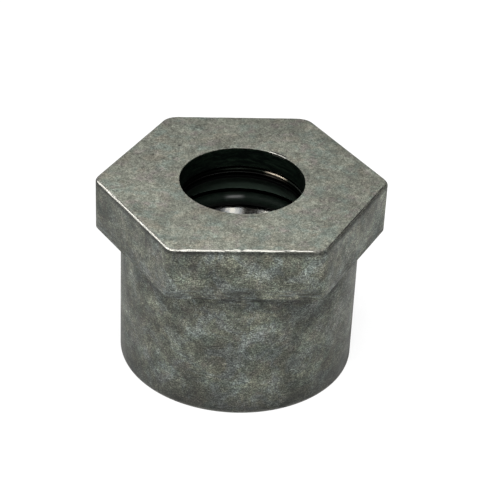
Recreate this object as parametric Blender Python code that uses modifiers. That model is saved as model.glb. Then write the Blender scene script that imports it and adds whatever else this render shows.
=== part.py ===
"""Hex-headed push-in port nipple: a turned steel body and the rings stacked in its bore.

Metres, +Z up. The origin is the centre of the foot face, and the hexagon's flats face +Y and -Y.
From the mouth down, the bore holds a wire grip ring in a groove, a spacer ring, an O-ring, and a
seat sleeve with its own outer O-ring. A circlip near the foot keeps the stack in.
"""

import math

import bmesh
import bpy
from mathutils import Matrix, Vector

OBJECT_NAME = "hex_port_nipple"
CUTTERS_NAME = "construction"

# Overall sizes.
ACROSS_FLATS = 0.0320
HEAD_HEIGHT = 0.0070
SPIGOT_LENGTH = 0.0180
SPIGOT_RADIUS = 0.0151
MOUTH_RADIUS = 0.00785
CORNER_ROUND = 0.0010
TOP_EDGE_ROUND = 0.00045
FOOT_EDGE_ROUND = 0.00015
MOUTH_EDGE_BREAK = 0.0001

# Cavity below the mouth.
CAVITY_RADIUS = 0.0120
LIP_DEPTH = 0.0045
CAVITY_EDGE_BREAK = 0.0005

# Gap left between pieces that touch on the real object.
GAP = 0.0003

# Grip ring: split round wire in a groove in the mouth.
GRIP_WIRE_RADIUS = 0.0004
GRIP_RING_RADIUS = 0.0082
GRIP_RING_DEPTH = 0.0034
GRIP_RING_OPENING = math.radians(18.0)

# Spacer ring between the lip and the O-ring.
SPACER_HEIGHT = 0.00225
SPACER_INNER_RADIUS = 0.0094
SPACER_EDGE_BREAK = 0.0002

# O-rings.
SEAL_SECTION_RADIUS = 0.00089
BORE_SEAL_RADIUS = 0.00895
SLEEVE_SEAL_HEIGHT = 0.0105

# Seat sleeve.
SEAT_CONE_RADIUS = 0.0091
SLEEVE_BORE_RADIUS = 0.0081
SLEEVE_EDGE_BREAK = 0.0003

# Circlip in its groove above the foot.
CIRCLIP_THICKNESS = 0.0012
CIRCLIP_BOTTOM = 0.0019
CIRCLIP_RADIUS = 0.0126
CIRCLIP_INNER_RADIUS = 0.0103
CIRCLIP_INNER_OFFSET = 0.0005
CIRCLIP_LUG_RADIUS = 0.0020
CIRCLIP_LUG_CENTRE = 0.0105
CIRCLIP_LUG_ANGLE = math.radians(17.0)
CIRCLIP_HOLE_RADIUS = 0.0010
CIRCLIP_GAP_WIDTH = 0.0024

# Mesh fineness.
TURNING_STEPS = 72
SEAL_MAJOR_STEPS = 60
SEAL_MINOR_STEPS = 10
WIRE_POINTS = 49
HOLE_STEPS = 16
ROUND_STEPS = 2
SMOOTH_ANGLE = math.radians(30.0)
MERGE_DISTANCE = 1e-6

# Heights worked out from the sizes above.
TOTAL_HEIGHT = SPIGOT_LENGTH + HEAD_HEIGHT
CAVITY_TOP = TOTAL_HEIGHT - LIP_DEPTH
GRIP_RING_HEIGHT = TOTAL_HEIGHT - GRIP_RING_DEPTH
GRIP_GROOVE_RADIUS = GRIP_RING_RADIUS + GRIP_WIRE_RADIUS + GAP
GRIP_GROOVE_HALF = GRIP_WIRE_RADIUS + GAP
STACK_RADIUS = CAVITY_RADIUS - GAP
SPACER_TOP = CAVITY_TOP - GAP
SPACER_BOTTOM = SPACER_TOP - SPACER_HEIGHT
SLEEVE_TOP = SPACER_BOTTOM - GAP
BORE_SEAL_HEIGHT = SPACER_BOTTOM - GAP - SEAL_SECTION_RADIUS
CUP_FLOOR = BORE_SEAL_HEIGHT - SEAL_SECTION_RADIUS - GAP
CUP_RADIUS = BORE_SEAL_RADIUS + SEAL_SECTION_RADIUS + GAP
SLEEVE_SEAL_RADIUS = STACK_RADIUS - SEAL_SECTION_RADIUS
SLEEVE_GROOVE_RADIUS = SLEEVE_SEAL_RADIUS - SEAL_SECTION_RADIUS - GAP
SLEEVE_GROOVE_HALF = SEAL_SECTION_RADIUS + GAP
CIRCLIP_TOP = CIRCLIP_BOTTOM + CIRCLIP_THICKNESS
SLEEVE_BOTTOM = CIRCLIP_TOP + GAP
CIRCLIP_GROOVE_RADIUS = CIRCLIP_RADIUS + GAP
CIRCLIP_GROOVE_BOTTOM = CIRCLIP_BOTTOM - GAP

# Colour, roughness and metallic value of each finish.
GREY_STEEL = ("grey_steel", (0.19, 0.20, 0.19), 0.62, 0.75)
SPRING_STEEL = ("spring_steel", (0.42, 0.40, 0.36), 0.28, 1.0)
GREY_NYLON = ("grey_nylon", (0.10, 0.11, 0.10), 0.65, 0.0)
BLACK_RUBBER = ("black_rubber", (0.018, 0.018, 0.018), 0.32, 0.0)
POLISHED_STEEL = ("polished_steel", (0.56, 0.57, 0.58), 0.16, 1.0)
DARK_SPRING_STEEL = ("dark_spring_steel", (0.07, 0.07, 0.075), 0.42, 0.9)


def clear_scene():
    """Remove every object that the session starts with."""
    for obj in list(bpy.data.objects):
        bpy.data.objects.remove(obj, do_unlink=True)


def new_collection(name):
    """Make a collection in the scene."""
    collection = bpy.data.collections.new(name)
    bpy.context.scene.collection.children.link(collection)
    return collection


def new_object(name, data, collection):
    """Make an object from mesh or curve data and put it in a collection."""
    obj = bpy.data.objects.new(name, data)
    collection.objects.link(obj)
    return obj


def mesh_from_bmesh(name, shape):
    """Turn a bmesh into a mesh and free it."""
    mesh = bpy.data.meshes.new(name)
    shape.to_mesh(mesh)
    shape.free()
    return mesh


def make_material(finish):
    """Make one Principled material from a finish."""
    name, colour, roughness, metallic = finish
    material = bpy.data.materials.new(name)
    material.use_nodes = True
    shader = material.node_tree.nodes["Principled BSDF"]
    shader.inputs["Base Color"].default_value = (*colour, 1.0)
    shader.inputs["Roughness"].default_value = roughness
    shader.inputs["Metallic"].default_value = metallic
    return material


def mark_as_cutter(obj):
    """Hide a construction solid from the render and show it as wire."""
    obj.hide_render = True
    obj.display_type = "WIRE"
    return obj


def turned(name, profile, collection, closed=False):
    """Turn a profile of (radius, height) points about the Z axis with a Screw modifier."""
    mesh = bpy.data.meshes.new(name)
    points = [(radius, 0.0, height) for radius, height in profile]
    edges = [(index, index + 1) for index in range(len(points) - 1)]
    if closed:
        edges.append((len(points) - 1, 0))
    mesh.from_pydata(points, edges, [])
    obj = new_object(name, mesh, collection)
    screw = obj.modifiers.new("turning", "SCREW")
    screw.axis = "Z"
    screw.angle = math.tau
    screw.steps = TURNING_STEPS
    screw.render_steps = TURNING_STEPS
    screw.use_merge_vertices = True
    screw.merge_threshold = MERGE_DISTANCE
    return obj


def cylinder(name, radius, bottom, top, centre, steps, collection):
    """Make an upright cylinder between two heights."""
    shape = bmesh.new()
    middle = Vector((centre[0], centre[1], (bottom + top) / 2.0))
    bmesh.ops.create_cone(
        shape, cap_ends=True, segments=steps, radius1=radius, radius2=radius,
        depth=top - bottom, matrix=Matrix.Translation(middle),
    )
    return new_object(name, mesh_from_bmesh(name, shape), collection)


def boolean(obj, tool, operation):
    """Join or cut an object with another solid."""
    modifier = obj.modifiers.new(tool.name, "BOOLEAN")
    modifier.operation = operation
    modifier.solver = "EXACT"
    modifier.object = tool


def finish_part(obj, material):
    """Bake the modifiers into the mesh, shade it smooth between its edges and give its material."""
    graph = bpy.context.evaluated_depsgraph_get()
    graph.update()
    mesh = bpy.data.meshes.new_from_object(obj.evaluated_get(graph))
    obj.modifiers.clear()
    obj.data = mesh
    mesh.name = obj.name
    mesh.materials.clear()
    mesh.materials.append(material)
    mesh.shade_smooth()
    mesh.set_sharp_from_angle(angle=SMOOTH_ANGLE)
    return obj


def rounded_hexagon(name, collection):
    """Make the hexagon head with rounded corners and a fine round along its top edges."""
    corner_radius = ACROSS_FLATS / math.sqrt(3.0)
    middle = SPIGOT_LENGTH + HEAD_HEIGHT / 2.0
    place = Matrix.Translation((0.0, 0.0, middle)) @ Matrix.Rotation(math.radians(30.0), 4, "Z")
    shape = bmesh.new()
    bmesh.ops.create_cone(
        shape, cap_ends=True, segments=6, radius1=corner_radius, radius2=corner_radius,
        depth=HEAD_HEIGHT, matrix=place,
    )
    upright = [edge for edge in shape.edges if is_upright(edge)]
    bmesh.ops.bevel(
        shape, geom=upright, offset=CORNER_ROUND * math.tan(math.radians(30.0)),
        offset_type="OFFSET", segments=ROUND_STEPS + 1, profile=0.5, affect="EDGES",
    )
    rim = [edge for edge in shape.edges if is_at_height(edge, TOTAL_HEIGHT)]
    bmesh.ops.bevel(
        shape, geom=rim, offset=TOP_EDGE_ROUND, offset_type="OFFSET",
        segments=ROUND_STEPS, profile=0.5, affect="EDGES",
    )
    return new_object(name, mesh_from_bmesh(name, shape), collection)


def is_upright(edge):
    """Say whether an edge runs along Z."""
    start, end = edge.verts
    return abs(start.co.z - end.co.z) > HEAD_HEIGHT / 2.0


def is_at_height(edge, height):
    """Say whether both ends of an edge are at a height."""
    return all(abs(vertex.co.z - height) < MERGE_DISTANCE for vertex in edge.verts)


def quarter_round(centre_radius, centre_height, radius):
    """Points of a quarter arc from facing outwards to facing down."""
    angles = [math.radians(90.0) * step / ROUND_STEPS for step in range(ROUND_STEPS + 1)]
    return [
        (centre_radius + radius * math.cos(angle), centre_height - radius * math.sin(angle))
        for angle in angles
    ]


def spigot_blank(collection):
    """Make the solid round spigot, which runs up into the head."""
    inside_head = SPIGOT_LENGTH + HEAD_HEIGHT / 2.0
    profile = [(0.0, inside_head), (SPIGOT_RADIUS, inside_head)]
    profile += quarter_round(SPIGOT_RADIUS - FOOT_EDGE_ROUND, FOOT_EDGE_ROUND, FOOT_EDGE_ROUND)
    profile.append((0.0, 0.0))
    return mark_as_cutter(turned("spigot_blank", profile, collection))


def bore_cutter(collection):
    """Make the cutter for the mouth, its groove, the cavity and the circlip groove."""
    above = 2.0 * MOUTH_EDGE_BREAK
    below = CAVITY_EDGE_BREAK
    groove_top = GRIP_RING_HEIGHT + GRIP_GROOVE_HALF
    groove_bottom = GRIP_RING_HEIGHT - GRIP_GROOVE_HALF
    profile = [
        (0.0, TOTAL_HEIGHT + above),
        (MOUTH_RADIUS + MOUTH_EDGE_BREAK + above, TOTAL_HEIGHT + above),
        (MOUTH_RADIUS, TOTAL_HEIGHT - MOUTH_EDGE_BREAK),
        (MOUTH_RADIUS, groove_top),
        (GRIP_GROOVE_RADIUS, groove_top),
        (GRIP_GROOVE_RADIUS, groove_bottom),
        (MOUTH_RADIUS, groove_bottom),
        (MOUTH_RADIUS, CAVITY_TOP),
        (CAVITY_RADIUS, CAVITY_TOP),
        (CAVITY_RADIUS, SLEEVE_BOTTOM),
        (CIRCLIP_GROOVE_RADIUS, SLEEVE_BOTTOM),
        (CIRCLIP_GROOVE_RADIUS, CIRCLIP_GROOVE_BOTTOM),
        (CAVITY_RADIUS, CIRCLIP_GROOVE_BOTTOM),
        (CAVITY_RADIUS, CAVITY_EDGE_BREAK),
        (CAVITY_RADIUS + CAVITY_EDGE_BREAK + below, -below),
        (0.0, -below),
    ]
    return mark_as_cutter(turned("bore_cutter", profile, collection))


def make_hex_body(parts, construction, material):
    """Hexagon head and round spigot in one piece, bored out from both ends."""
    body = rounded_hexagon("hex_body", parts)
    boolean(body, spigot_blank(construction), "UNION")
    boolean(body, bore_cutter(construction), "DIFFERENCE")
    return finish_part(body, material)


def make_grip_ring(parts, material):
    """Split ring of round wire, open on the -Y side."""
    curve = bpy.data.curves.new("grip_ring_wire", "CURVE")
    curve.dimensions = "3D"
    curve.bevel_depth = GRIP_WIRE_RADIUS
    curve.bevel_resolution = 2
    curve.use_fill_caps = True
    spline = curve.splines.new("POLY")
    spline.points.add(WIRE_POINTS - 1)
    start = math.radians(-90.0) + GRIP_RING_OPENING / 2.0
    sweep = math.tau - GRIP_RING_OPENING
    for index, point in enumerate(spline.points):
        angle = start + sweep * index / (WIRE_POINTS - 1)
        x = GRIP_RING_RADIUS * math.cos(angle)
        y = GRIP_RING_RADIUS * math.sin(angle)
        point.co = (x, y, GRIP_RING_HEIGHT, 1.0)
    wire = new_object("grip_ring_wire", curve, parts)
    mesh = welded_mesh(wire)
    ring = new_object("grip_ring", mesh, parts)
    ring.matrix_world = wire.matrix_world
    bpy.data.objects.remove(wire, do_unlink=True)
    return finish_part(ring, material)


def welded_mesh(curve_object):
    """Make a mesh from a curve object with its end caps joined on."""
    graph = bpy.context.evaluated_depsgraph_get()
    graph.update()
    mesh = bpy.data.meshes.new_from_object(curve_object.evaluated_get(graph))
    shape = bmesh.new()
    shape.from_mesh(mesh)
    bmesh.ops.remove_doubles(shape, verts=shape.verts, dist=MERGE_DISTANCE)
    bmesh.ops.recalc_face_normals(shape, faces=shape.faces)
    shape.to_mesh(mesh)
    shape.free()
    return mesh


def make_spacer_ring(parts, material):
    """Plain ring between the lip and the O-ring, its edges broken."""
    edge = SPACER_EDGE_BREAK
    profile = [
        (STACK_RADIUS - edge, SPACER_TOP),
        (STACK_RADIUS, SPACER_TOP - edge),
        (STACK_RADIUS, SPACER_BOTTOM + edge),
        (STACK_RADIUS - edge, SPACER_BOTTOM),
        (SPACER_INNER_RADIUS + edge, SPACER_BOTTOM),
        (SPACER_INNER_RADIUS, SPACER_BOTTOM + edge),
        (SPACER_INNER_RADIUS, SPACER_TOP - edge),
        (SPACER_INNER_RADIUS + edge, SPACER_TOP),
    ]
    return finish_part(turned("spacer_ring", profile, parts, closed=True), material)


def make_seal(name, ring_radius, height, parts, material):
    """O-ring of round section."""
    bpy.ops.mesh.primitive_torus_add(
        major_segments=SEAL_MAJOR_STEPS, minor_segments=SEAL_MINOR_STEPS,
        major_radius=ring_radius, minor_radius=SEAL_SECTION_RADIUS, location=(0.0, 0.0, height),
    )
    seal = bpy.context.object
    seal.name = name
    for owner in list(seal.users_collection):
        owner.objects.unlink(seal)
    parts.objects.link(seal)
    return finish_part(seal, material)


def make_seat_sleeve(parts, material):
    """Polished sleeve: a cup for the O-ring, a 45 degree seat, and a groove outside."""
    edge = SLEEVE_EDGE_BREAK
    groove_top = SLEEVE_SEAL_HEIGHT + SLEEVE_GROOVE_HALF
    groove_bottom = SLEEVE_SEAL_HEIGHT - SLEEVE_GROOVE_HALF
    seat_drop = SEAT_CONE_RADIUS - SLEEVE_BORE_RADIUS
    profile = [
        (STACK_RADIUS - edge, SLEEVE_TOP),
        (STACK_RADIUS, SLEEVE_TOP - edge),
        (STACK_RADIUS, groove_top),
        (SLEEVE_GROOVE_RADIUS, groove_top),
        (SLEEVE_GROOVE_RADIUS, groove_bottom),
        (STACK_RADIUS, groove_bottom),
        (STACK_RADIUS, SLEEVE_BOTTOM + edge),
        (STACK_RADIUS - edge, SLEEVE_BOTTOM),
        (SLEEVE_BORE_RADIUS + edge, SLEEVE_BOTTOM),
        (SLEEVE_BORE_RADIUS, SLEEVE_BOTTOM + edge),
        (SLEEVE_BORE_RADIUS, CUP_FLOOR - seat_drop),
        (SEAT_CONE_RADIUS, CUP_FLOOR),
        (CUP_RADIUS, CUP_FLOOR),
        (CUP_RADIUS, SLEEVE_TOP),
    ]
    return finish_part(turned("seat_sleeve", profile, parts, closed=True), material)


def circlip_point(angle):
    """Centre of a lug at an angle from the -Y side."""
    return (CIRCLIP_LUG_CENTRE * math.sin(angle), -CIRCLIP_LUG_CENTRE * math.cos(angle))


def make_circlip(parts, construction, material):
    """Internal circlip, thickest at the back, with a gap and two drilled lugs on the -Y side."""
    bottom, top = CIRCLIP_BOTTOM, CIRCLIP_TOP
    low, high = bottom - GAP, top + GAP
    clip = cylinder("circlip", CIRCLIP_RADIUS, bottom, top, (0.0, 0.0), TURNING_STEPS, parts)
    window_centre = (0.0, -CIRCLIP_INNER_OFFSET)
    window = cylinder(
        "circlip_window", CIRCLIP_INNER_RADIUS, low, high, window_centre, TURNING_STEPS, construction,
    )
    boolean(clip, mark_as_cutter(window), "DIFFERENCE")
    for side, angle in (("left", -CIRCLIP_LUG_ANGLE), ("right", CIRCLIP_LUG_ANGLE)):
        centre = circlip_point(angle)
        lug = cylinder(
            f"circlip_lug_{side}", CIRCLIP_LUG_RADIUS, bottom, top, centre, HOLE_STEPS, construction,
        )
        boolean(clip, mark_as_cutter(lug), "UNION")
    for side, angle in (("left", -CIRCLIP_LUG_ANGLE), ("right", CIRCLIP_LUG_ANGLE)):
        centre = circlip_point(angle)
        hole = cylinder(
            f"circlip_hole_{side}", CIRCLIP_HOLE_RADIUS, low, high, centre, HOLE_STEPS, construction,
        )
        boolean(clip, mark_as_cutter(hole), "DIFFERENCE")
    boolean(clip, circlip_gap(construction, low, high), "DIFFERENCE")
    return finish_part(clip, material)


def circlip_gap(construction, low, high):
    """Make the block that cuts the circlip open between its lugs."""
    depth = CIRCLIP_RADIUS
    place = Matrix.Translation((0.0, -CIRCLIP_RADIUS, (low + high) / 2.0))
    size = Matrix.Diagonal((CIRCLIP_GAP_WIDTH, depth, high - low, 1.0))
    shape = bmesh.new()
    bmesh.ops.create_cube(shape, size=1.0, matrix=place @ size)
    block = new_object("circlip_gap", mesh_from_bmesh("circlip_gap", shape), construction)
    return mark_as_cutter(block)


def main():
    """Build every piece of the nipple."""
    clear_scene()
    parts = new_collection(OBJECT_NAME)
    construction = new_collection(CUTTERS_NAME)
    rubber = make_material(BLACK_RUBBER)
    make_hex_body(parts, construction, make_material(GREY_STEEL))
    make_grip_ring(parts, make_material(SPRING_STEEL))
    make_spacer_ring(parts, make_material(GREY_NYLON))
    make_seal("bore_o_ring", BORE_SEAL_RADIUS, BORE_SEAL_HEIGHT, parts, rubber)
    make_seat_sleeve(parts, make_material(POLISHED_STEEL))
    make_seal("sleeve_o_ring", SLEEVE_SEAL_RADIUS, SLEEVE_SEAL_HEIGHT, parts, rubber.copy())
    make_circlip(parts, construction, make_material(DARK_SPRING_STEEL))


main()
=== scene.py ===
"""Finished look of a hex-headed push-in port nipple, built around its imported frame.

Every piece is modelled at its place in the frame, in metres, with +Z along the bore. The hexagon's
flats face +Y and -Y, and the foot face lies at height zero.
"""

import logging
import math
from dataclasses import dataclass, field
from enum import Enum
from typing import Callable, Sequence

import bmesh
import bpy
from mathutils import Matrix, Quaternion, Vector, noise


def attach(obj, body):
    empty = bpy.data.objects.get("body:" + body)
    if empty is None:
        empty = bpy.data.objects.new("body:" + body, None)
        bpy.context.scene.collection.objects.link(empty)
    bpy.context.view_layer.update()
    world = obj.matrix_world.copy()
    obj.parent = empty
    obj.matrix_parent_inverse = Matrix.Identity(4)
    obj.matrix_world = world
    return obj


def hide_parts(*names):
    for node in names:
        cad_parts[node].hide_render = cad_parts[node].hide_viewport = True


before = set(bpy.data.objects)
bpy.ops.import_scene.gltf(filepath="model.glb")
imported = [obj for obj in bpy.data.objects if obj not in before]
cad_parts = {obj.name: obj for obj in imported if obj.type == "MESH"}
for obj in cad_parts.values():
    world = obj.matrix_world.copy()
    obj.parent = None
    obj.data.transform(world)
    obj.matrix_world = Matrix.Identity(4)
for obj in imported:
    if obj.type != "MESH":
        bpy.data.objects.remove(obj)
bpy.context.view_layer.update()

LOG = logging.getLogger("hex_port_nipple")
MM = 0.001
HEXAGON_SIDES = 6
SECTOR = math.tau / HEXAGON_SIDES
MERGE_DISTANCE = 1e-7
SMOOTH_ANGLE = math.radians(38.0)
SHARP_ANGLE = math.radians(80.0)
QUARTER_TURN = math.radians(90.0)
ROUNDING_STEPS = 7
RING_DETAIL = 4.0
EDGE_WEAR = "edge_wear"
BARE_BORE = "bare_bore"
# Painted light and shade: brightness factors stored on the body's points.
PAINTED_SHADING = "painted_shading"
SIDE_STAIN = "side_stain"
RUBBED = "rubbed"
SCUFFED = "scuffed"
FROSTED = "frosted"


class Body(Enum):
    """Bodies of the frame that a piece can ride on."""

    ROOT = "root"


class Slot(Enum):
    """Material slots of the record."""

    BODY_STEEL = "body_steel"
    SPRING_WIRE = "spring_wire"
    SPACER_PLASTIC = "spacer_plastic"
    SEAL_RUBBER = "seal_rubber"
    POLISHED_STEEL = "polished_steel"
    DARK_SPRING_STEEL = "dark_spring_steel"


class Role(Enum):
    """What a light does: fill lights the surfaces, and glint shows in their reflections."""

    FILL = "fill"
    GLINT = "glint"


class Blend(Enum):
    """Ways that one colour goes over another."""

    MIX = "MIX"
    MULTIPLY = "MULTIPLY"


Colour = tuple[float, float, float]
Triple = tuple[float, float, float]
Span = tuple[float, float]
Socket = bpy.types.NodeSocket
UNIT: Span = (0.0, 1.0)
NO_OFFSET: Triple = (0.0, 0.0, 0.0)
NO_STRETCH: Triple = (1.0, 1.0, 1.0)


def rgba(colour: Colour) -> tuple[float, float, float, float]:
    """Add full opacity to a colour."""
    return (*colour, 1.0)


def clamp(value: float) -> float:
    """Hold a value between zero and one."""
    return max(0.0, min(1.0, value))


def smooth_step(low: float, high: float, value: float) -> float:
    """Rise smoothly from zero at low to one at high.

    Args:
        low: Where the rise starts.
        high: Where the rise ends.
        value: Where to read it.

    Returns:
        A number from zero to one.
    """
    along = clamp((value - low) / (high - low))
    return along * along * (3.0 - 2.0 * along)


# ---------------------------------------------------------------------------------------------
# Finishes


@dataclass(frozen=True)
class Cloud:
    """Cloudy noise: its size in metres, its octaves, its place, and how its values are stretched."""

    size: float
    detail: float = 4.0
    roughness: float = 0.55
    distortion: float = 0.0
    offset: Triple = NO_OFFSET
    stretch: Triple = NO_STRETCH
    limits: Span = (0.30, 0.70)
    ends: Span = UNIT


@dataclass
class Graph:
    """The shader nodes of one material, with short calls to add them."""

    material: bpy.types.Material
    tree: bpy.types.NodeTree = field(init=False)
    shader: bpy.types.Node = field(init=False)
    place: Socket = field(init=False)

    def __post_init__(self) -> None:
        """Start from a Principled shader and the object's own coordinates."""
        self.material.use_nodes = True
        self.tree = self.material.node_tree
        self.shader = self.tree.nodes["Principled BSDF"]
        self.place = self.tree.nodes.new("ShaderNodeTexCoord").outputs["Object"]

    @classmethod
    def named(cls, name: str) -> "Graph":
        """Make a new material of that name and its graph."""
        return cls(bpy.data.materials.new(name))

    def link(self, source: Socket, target: Socket) -> None:
        """Join two sockets."""
        self.tree.links.new(source, target)

    def feed(self, value: float | Colour | Socket, target: Socket) -> None:
        """Set a socket to a number or a colour, or link it.

        Args:
            value: What goes in.
            target: The input socket.
        """
        if isinstance(value, bpy.types.NodeSocket):
            self.link(value, target)
        elif isinstance(value, tuple):
            target.default_value = rgba(value)
        else:
            target.default_value = value

    def moved(self, offset: Triple, stretch: Triple) -> Socket:
        """Shift and stretch the coordinates.

        Args:
            offset: Shift along each axis, in metres after stretching.
            stretch: Stretch along each axis.

        Returns:
            The new coordinates.
        """
        mapping = self.tree.nodes.new("ShaderNodeMapping")
        mapping.inputs["Location"].default_value = offset
        mapping.inputs["Scale"].default_value = stretch
        self.link(self.place, mapping.inputs["Vector"])
        return mapping.outputs["Vector"]

    def noise(self, cloud: Cloud) -> Socket:
        """Cloudy noise as it comes, before its values are stretched.

        Args:
            cloud: Its size, octaves and place.

        Returns:
            The noise, mostly from 0.3 to 0.7.
        """
        texture = self.tree.nodes.new("ShaderNodeTexNoise")
        texture.inputs["Scale"].default_value = 1.0 / cloud.size
        texture.inputs["Detail"].default_value = cloud.detail
        texture.inputs["Roughness"].default_value = cloud.roughness
        texture.inputs["Distortion"].default_value = cloud.distortion
        still = (cloud.offset, cloud.stretch) == (NO_OFFSET, NO_STRETCH)
        place = self.place if still else self.moved(cloud.offset, cloud.stretch)
        self.link(place, texture.inputs["Vector"])
        return texture.outputs["Fac"]

    def cloudy(self, cloud: Cloud) -> Socket:
        """Cloudy noise with its values stretched."""
        return self.spread(self.noise(cloud), cloud.limits, cloud.ends)

    def cells(self, size: float) -> Socket:
        """Distance to scattered points, for pits.

        Args:
            size: Spacing of the points, in metres.

        Returns:
            The distance, in spacings.
        """
        texture = self.tree.nodes.new("ShaderNodeTexVoronoi")
        texture.inputs["Scale"].default_value = 1.0 / size
        self.link(self.place, texture.inputs["Vector"])
        return texture.outputs["Distance"]

    def rings(self, width: float) -> Socket:
        """Noise that changes only with height, for turning marks.

        Args:
            width: Width of the widest mark, in metres.

        Returns:
            The noise.
        """
        split = self.tree.nodes.new("ShaderNodeSeparateXYZ")
        self.link(self.place, split.inputs["Vector"])
        texture = self.tree.nodes.new("ShaderNodeTexNoise")
        texture.noise_dimensions = "1D"
        texture.inputs["Scale"].default_value = 1.0 / width
        texture.inputs["Detail"].default_value = RING_DETAIL
        self.link(split.outputs["Z"], texture.inputs["W"])
        return texture.outputs["Fac"]

    def attribute(self, name: str) -> Socket:
        """Read a number stored on the mesh."""
        node = self.tree.nodes.new("ShaderNodeAttribute")
        node.attribute_name = name
        return node.outputs["Fac"]

    def spread(self, value: Socket, limits: Span, ends: Span = UNIT) -> Socket:
        """Stretch a value between two limits, held at the ends.

        Args:
            value: What goes in.
            limits: Inputs that give the two ends.
            ends: Outputs there.

        Returns:
            The stretched value.
        """
        node = self.tree.nodes.new("ShaderNodeMapRange")
        node.interpolation_type = "SMOOTHSTEP"
        node.inputs["From Min"].default_value, node.inputs["From Max"].default_value = limits
        node.inputs["To Min"].default_value, node.inputs["To Max"].default_value = ends
        self.link(value, node.inputs["Value"])
        return node.outputs["Result"]

    def maths(self, operation: str, first: Socket | float, second: Socket | float) -> Socket:
        """Work out a sum, product or other result of two values.

        Args:
            operation: The Math node's operation.
            first: First value.
            second: Second value.

        Returns:
            The result.
        """
        node = self.tree.nodes.new("ShaderNodeMath")
        node.operation = operation
        self.feed(first, node.inputs[0])
        self.feed(second, node.inputs[1])
        return node.outputs["Value"]

    def times(self, first: Socket | float, second: Socket | float) -> Socket:
        """The product of two values."""
        return self.maths("MULTIPLY", first, second)

    def over(
        self,
        amount: Socket | float,
        below: Socket | Colour,
        above: Socket | Colour,
        blend: Blend = Blend.MIX,
    ) -> Socket:
        """Lay one colour over another.

        Args:
            amount: How much of the upper colour shows.
            below: The lower colour.
            above: The upper colour.
            blend: How they combine.

        Returns:
            The colour.
        """
        node = self.tree.nodes.new("ShaderNodeMix")
        node.data_type = "RGBA"
        node.blend_type = blend.value
        self.feed(amount, node.inputs["Factor"])
        self.feed(below, node.inputs[6])
        self.feed(above, node.inputs[7])
        return node.outputs[2]

    def between(self, amount: Socket, low: Socket | float, high: Socket | float) -> Socket:
        """Go from one number to another.

        Args:
            amount: How far, from zero to one.
            low: Number at zero.
            high: Number at one.

        Returns:
            The number.
        """
        node = self.tree.nodes.new("ShaderNodeMix")
        self.feed(amount, node.inputs["Factor"])
        self.feed(low, node.inputs[2])
        self.feed(high, node.inputs[3])
        return node.outputs[0]

    def bump(self, height: Socket, depth: float, strength: float = 1.0) -> None:
        """Raise the surface by a height pattern.

        Args:
            height: The pattern, from zero to one.
            depth: Height of the relief, in metres.
            strength: How much of it the shader sees.
        """
        node = self.tree.nodes.new("ShaderNodeBump")
        node.inputs["Strength"].default_value = strength
        node.inputs["Distance"].default_value = depth
        self.link(height, node.inputs["Height"])
        self.link(node.outputs["Normal"], self.shader.inputs["Normal"])

    def surface(self, **values: float | Colour | Socket) -> bpy.types.Material:
        """Set the shader's inputs, named with underscores for spaces.

        Args:
            **values: Numbers, colours or sockets.

        Returns:
            The finished material.
        """
        for name, value in values.items():
            self.feed(value, self.shader.inputs[name.replace("_", " ").title().replace("Ior", "IOR")])
        return self.material


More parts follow.
